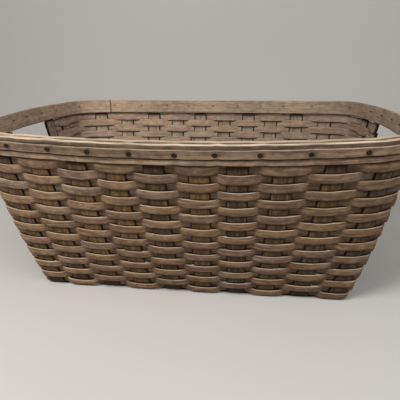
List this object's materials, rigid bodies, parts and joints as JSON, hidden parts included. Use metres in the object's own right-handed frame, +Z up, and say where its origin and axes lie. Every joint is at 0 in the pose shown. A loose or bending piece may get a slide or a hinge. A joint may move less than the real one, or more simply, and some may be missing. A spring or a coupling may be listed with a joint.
{
  "type": "laundry basket",
  "caption": "Woven wood-splint laundry basket: flat rectangular base, walls flaring to an oval rim of nailed bands, and a hand opening through each end wall.",
  "frame": {"origin": "on the floor, under the middle of the base", "axes": "+X along the basket's length, +Y from the front wall to the back wall, +Z up"},
  "size_m": [0.7274, 0.5537, 0.3012],
  "materials": {
    "splint_wood": "bare, weathered brown",
    "weaver_wood": "bare, weathered grey-tan",
    "rim_wood": "bare, weathered grey-brown, bleached edges",
    "tack_iron": "dull, dark oxide"
  },
  "bodies": {
    "root": {"cross_splint_01": "splint_wood", "cross_splint_02": "splint_wood", "cross_splint_03": "splint_wood", "cross_splint_04": "splint_wood", "cross_splint_05": "splint_wood", "cross_splint_06": "splint_wood", "cross_splint_07": "splint_wood", "cross_splint_08": "splint_wood", "cross_splint_09": "splint_wood", "cross_splint_10": "splint_wood", "long_splint_01": "splint_wood", "long_splint_02": "splint_wood", "long_splint_03": "splint_wood", "long_splint_04": "splint_wood", "long_splint_05": "splint_wood", "long_splint_06": "splint_wood", "weaver_row_01": "weaver_wood", "weaver_row_02": "weaver_wood", "weaver_row_03": "weaver_wood", "weaver_row_04": "weaver_wood", "weaver_row_05": "weaver_wood", "weaver_row_06": "weaver_wood", "weaver_row_07": "weaver_wood", "weaver_row_08": "weaver_wood", "weaver_row_09": "weaver_wood", "weaver_row_10": "weaver_wood", "weaver_row_11": "weaver_wood", "weaver_row_12": "weaver_wood", "weaver_row_13": "weaver_wood", "weaver_row_14": "weaver_wood", "weaver_row_15": "weaver_wood", "weaver_row_16": "weaver_wood", "weaver_row_17_front": "weaver_wood", "weaver_row_17_back": "weaver_wood", "weaver_row_18_front": "weaver_wood", "weaver_row_18_back": "weaver_wood", "weaver_row_19_front": "weaver_wood", "weaver_row_19_back": "weaver_wood", "inner_rim_band": "rim_wood", "outer_rim_band": "rim_wood", "nailed_hoop": "rim_wood", "tack_01": "tack_iron", "tack_02": "tack_iron", "tack_03": "tack_iron", "tack_04": "tack_iron", "tack_05": "tack_iron", "tack_06": "tack_iron", "tack_07": "tack_iron", "tack_08": "tack_iron", "tack_09": "tack_iron", "tack_10": "tack_iron", "tack_11": "tack_iron", "tack_12": "tack_iron", "tack_13": "tack_iron", "tack_14": "tack_iron", "tack_15": "tack_iron", "tack_16": "tack_iron", "tack_17": "tack_iron", "tack_18": "tack_iron"}
  },
  "joints": []
}
